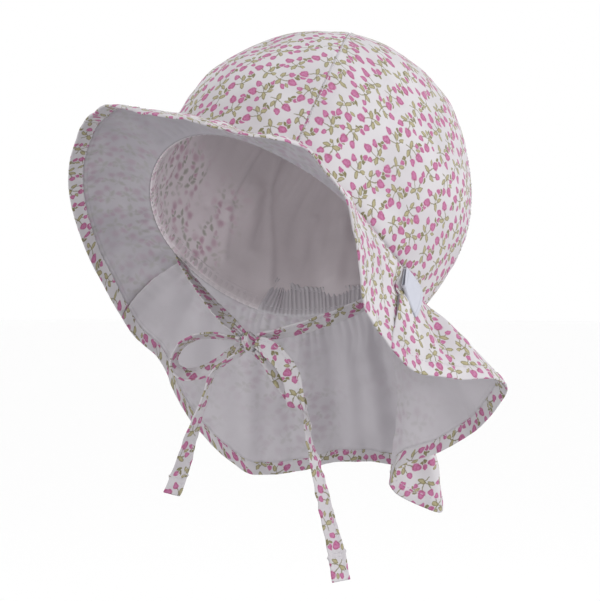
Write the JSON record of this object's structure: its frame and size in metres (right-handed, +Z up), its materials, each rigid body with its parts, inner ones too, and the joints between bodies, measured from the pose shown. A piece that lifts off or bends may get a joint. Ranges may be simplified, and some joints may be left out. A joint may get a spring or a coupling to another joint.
{
  "type": "sun hat with neck flap",
  "caption": "Baby's cotton sun hat with gored crown, wide brim, nape flap with gathered elastic and ties in a bow, in its worn form.",
  "frame": {"origin": "middle of the head opening, where the hat sits on a head", "axes": "+Z up, -Y where the wearer looks, +X to the wearer's left"},
  "size_m": [0.2145, 0.2249, 0.2725],
  "materials": {
    "printed_cotton": "soft white cotton with a small rosebud print",
    "lining_cotton": "plain thin white cotton",
    "label_satin": "blank woven ribbon"
  },
  "bodies": {
    "root": {"crown_panel_front": "printed_cotton", "crown_panel_left": "printed_cotton", "crown_panel_back": "printed_cotton", "crown_panel_right": "printed_cotton", "crown_lining": "lining_cotton", "seam_tape": "lining_cotton", "nape_casing": "lining_cotton", "brim": "printed_cotton", "neck_flap": "printed_cotton", "side_label": "label_satin", "tie_right": "printed_cotton", "tie_left": "printed_cotton", "bow_knot": "printed_cotton", "bow_loop_right": "printed_cotton", "bow_loop_left": "printed_cotton", "bow_end_right": "printed_cotton", "bow_end_left": "printed_cotton"}
  },
  "joints": []
}
